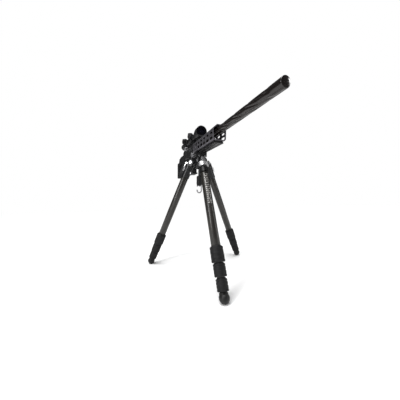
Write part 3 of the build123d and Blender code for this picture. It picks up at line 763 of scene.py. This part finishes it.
def slab(outline, half, width=1.4):
    """Rounded slab of a side outline (forwards, up) on both sides of the dummy's middle."""
    part = bmesh.new()
    extrude_outline(part, ITEM, FRONT, UP, SIDE, scaled(outline), -half * MM, half * MM)
    fix_normals(part)
    soften(part, width * MM, 3)
    mesh = bpy.data.meshes.new("part")
    part.to_mesh(mesh)
    part.free()
    bm.from_mesh(mesh)
    bpy.data.meshes.remove(mesh)


slab([(-75, -62.1), (-141, -62.1), (-137, -141), (-75, -136)], 10.2)
slab([(-72, -135.5), (-140, -140.5), (-139, -148), (-72, -143)], 15.0, 2.0)
for k in range(5):
    f = -84.0 - 11.5 * k
    lean = 0.8 * k / 4
    drop = -134.0 - 3.2 * k / 4
    slab([(f, -66), (f - 5.0, -66), (f - 5.0 + lean, drop), (f + lean, drop)], 11.0, 0.6)
publish(bm, "ribbed_lower_block", "dummy", "polymer", ("lower_block",), sharp=30)

# ---------------------------------------------------------------- grip: oval sections with finger hollows
GRIP_TOP = (-256.0, -42.0)
GRIP_END = (-283.0, -129.0)
bm = bmesh.new()
rings = []
levels = 40
for i in range(levels + 1):
    k = i / levels
    f0 = GRIP_TOP[0] + (GRIP_END[0] - GRIP_TOP[0]) * k
    u0 = GRIP_TOP[1] + (GRIP_END[1] - GRIP_TOP[1]) * k
    deep = 19.0 - 5.5 * sin(pi * min(1, k * 1.15)) * 0.6 - 3.0 * k
    wide = 13.0 + 1.8 * sin(pi * k)
    end = min(1.0, (1 - k) * levels / 2.5 + 0.72)
    ring = []
    for j in range(64):
        a = TAU * j / 64
        c, d = cos(a), sin(a)
        px = (abs(c) ** 0.8) * (1 if c > 0 else -1) * deep * end
        py = (abs(d) ** 0.8) * (1 if d > 0 else -1) * wide * end
        if c > 0 and 0.12 < k < 0.9:
            px -= 1.3 * c * c * (1 - cos(TAU * 3.2 * (k - 0.12))) / 2
        place = FRONT * (f0 + px) + UP * (u0 - 0.25 * px * k) + SIDE * py
        ring.append(bm.verts.new(ITEM + place * MM))
    rings.append(ring)
for i in range(levels):
    for j in range(64):
        m = (j + 1) % 64
        bm.faces.new((rings[i][j], rings[i][m], rings[i + 1][m], rings[i + 1][j]))
bm.faces.new(rings[0])
bm.faces.new(rings[-1])
fix_normals(bm)
publish(bm, "shaped_grip", "dummy", "polymer", ("grip",), sharp=50)

# ---------------------------------------------------------------- butt pad, cheek pad and side panels
bm = bmesh.new()
pad = [(-502.1, -36), (-521, -37), (-526, -42), (-529, -60), (-526.4, -98)]
pad += [(-529, -140), (-526, -154), (-521, -158), (-502.1, -158)]
slab(pad, 17.6, 3.0)
for k in range(12):
    u = -44.0 - 9.6 * k
    slab([(-504.5, u), (-521.5, u), (-521.5, u - 5.2), (-504.5, u - 5.2)], 18.4, 0.8)
publish(bm, "fluted_butt_pad", "dummy", "pad_rubber", ("butt_pad",), sharp=30)

bm = bmesh.new()
slab([(-332, -12), (-332, -4), (-338, 1.5), (-430, -0.5), (-438, -6), (-438, -14)], 14.5, 4.0)
publish(bm, "cheek_pad", "dummy", "pad_rubber", (), sharp=30)

bm = bmesh.new()
slab([(-482, -66), (-496, -66), (-496, -146), (-484, -146), (-478, -128)], 17.7, 0.7)
slab([(-300, -14), (-318, -20), (-318, -44), (-300, -32)], 17.6, 0.6)
publish(bm, "stock_panels", "dummy", "polymer", (), sharp=30)

bm = bmesh.new()
panel = [(-40, 12), (-40, -26), (-62, -34), (-140, -40), (-226, -38), (-250, -28), (-250, 4), (-232, 12)]
slab(panel, 21.5, 0.5)
publish(bm, "body_panels", "dummy", "body_black", (), sharp=30)

# ---------------------------------------------------------------- every CAD node still shown
WIDTHS = {
    "stock": 4.0, "grip": 3.5, "lower_block": 1.6, "butt_pad": 3.5, "side_knob": 0.8, "forend_shell": 0.7,
    "body_block": 0.8, "top_rail": 0.35, "weight_hook": 0.3, "bowl_liner": 0.1, "clamp_bolts": 0.3,
}
for name, obj in NODES.items():
    if not obj.hide_render:
        finish_cad(name, SLOTS[name], WIDTHS.get(name, 0.6))

# ---------------------------------------------------------------- floor, light and camera
floor_mesh = bpy.data.meshes.new("floor")
half = 12.0
corners = [(-half, -half, 0), (half, -half, 0), (half, half, 0), (-half, half, 0)]
floor_mesh.from_pydata(corners, [], [(0, 1, 2, 3)])
floor_obj = bpy.data.objects.new("floor", floor_mesh)
bpy.context.scene.collection.objects.link(floor_obj)
t = Tree("pale_floor")
t.set(Base_Color=t.ramp(t.noise(2.0, 2), [(0.3, 0.93), (0.7, 0.95)]), Roughness=0.9)
t.set(Specular_IOR_Level=0.1)
floor_mesh.materials.append(t.mat)

# The surroundings are white where the camera sees them, and a weaker light on everything else.
WHITE_SEEN = 1.0
WHITE_LIGHT = 0.12
world = bpy.data.worlds.new("studio")
world.use_nodes = True
sky = world.node_tree
seen = sky.nodes.new("ShaderNodeLightPath")
level = sky.nodes.new("ShaderNodeMapRange")
level.inputs["To Min"].default_value = WHITE_LIGHT
level.inputs["To Max"].default_value = WHITE_SEEN
sky.links.new(seen.outputs["Is Camera Ray"], level.inputs["Value"])
sky.nodes["Background"].inputs["Color"].default_value = (1, 1, 1, 1)
sky.links.new(level.outputs[0], sky.nodes["Background"].inputs["Strength"])
bpy.context.scene.world = world


def light(name, kind, place, target, strength, spread, height=None):
    """Soft lamp: spread is a sun's softness in degrees, or a panel's width in metres."""
    data = bpy.data.lights.new(name, kind)
    data.energy = strength
    if kind == "SUN":
        data.angle = radians(spread)
    else:
        data.shape = "RECTANGLE"
        data.size = spread
        data.size_y = height
    obj = bpy.data.objects.new(name, data)
    bpy.context.scene.collection.objects.link(obj)
    obj.location = place
    obj.rotation_mode = "QUATERNION"
    obj.rotation_quaternion = (Vector(target) - Vector(place)).to_track_quat("-Z", "Y")


light("overhead", "SUN", (-0.5, -0.4, 3.0), (0, 0, 0.4), 3.2, 50)
light("key", "AREA", (-2.0, -1.5, 1.3), (0, 0, 0.45), 45, 0.5, 1.8)
light("rim", "AREA", (1.7, -1.0, 0.9), (0, 0, 0.35), 12, 0.25, 1.6)

CAMERA_PLACE = (-0.1865, -0.7987, 0.3207)
camera = bpy.data.cameras.new("camera")
camera.sensor_width = 36.0
camera.lens = 14.35
cam = bpy.data.objects.new("camera", camera)
bpy.context.scene.collection.objects.link(cam)
look, lift, roll = radians(12.87), radians(1.90), radians(-1.46)
forward = Vector((sin(look) * cos(lift), cos(look) * cos(lift), sin(lift)))
right = Vector((cos(look), -sin(look), 0))
upward = right.cross(forward)
turned = right * cos(roll) + upward * sin(roll)
upward = turned.cross(forward)
cam.matrix_world = Matrix((
    (turned.x, upward.x, -forward.x, CAMERA_PLACE[0]),
    (turned.y, upward.y, -forward.y, CAMERA_PLACE[1]),
    (turned.z, upward.z, -forward.z, CAMERA_PLACE[2]),
    (0, 0, 0, 1),
))
camera.clip_start = 0.01
bpy.context.scene.camera = cam
bpy.context.scene.view_settings.view_transform = "Standard"
bpy.context.scene.view_settings.gamma = 0.86

bpy.context.view_layer.update()
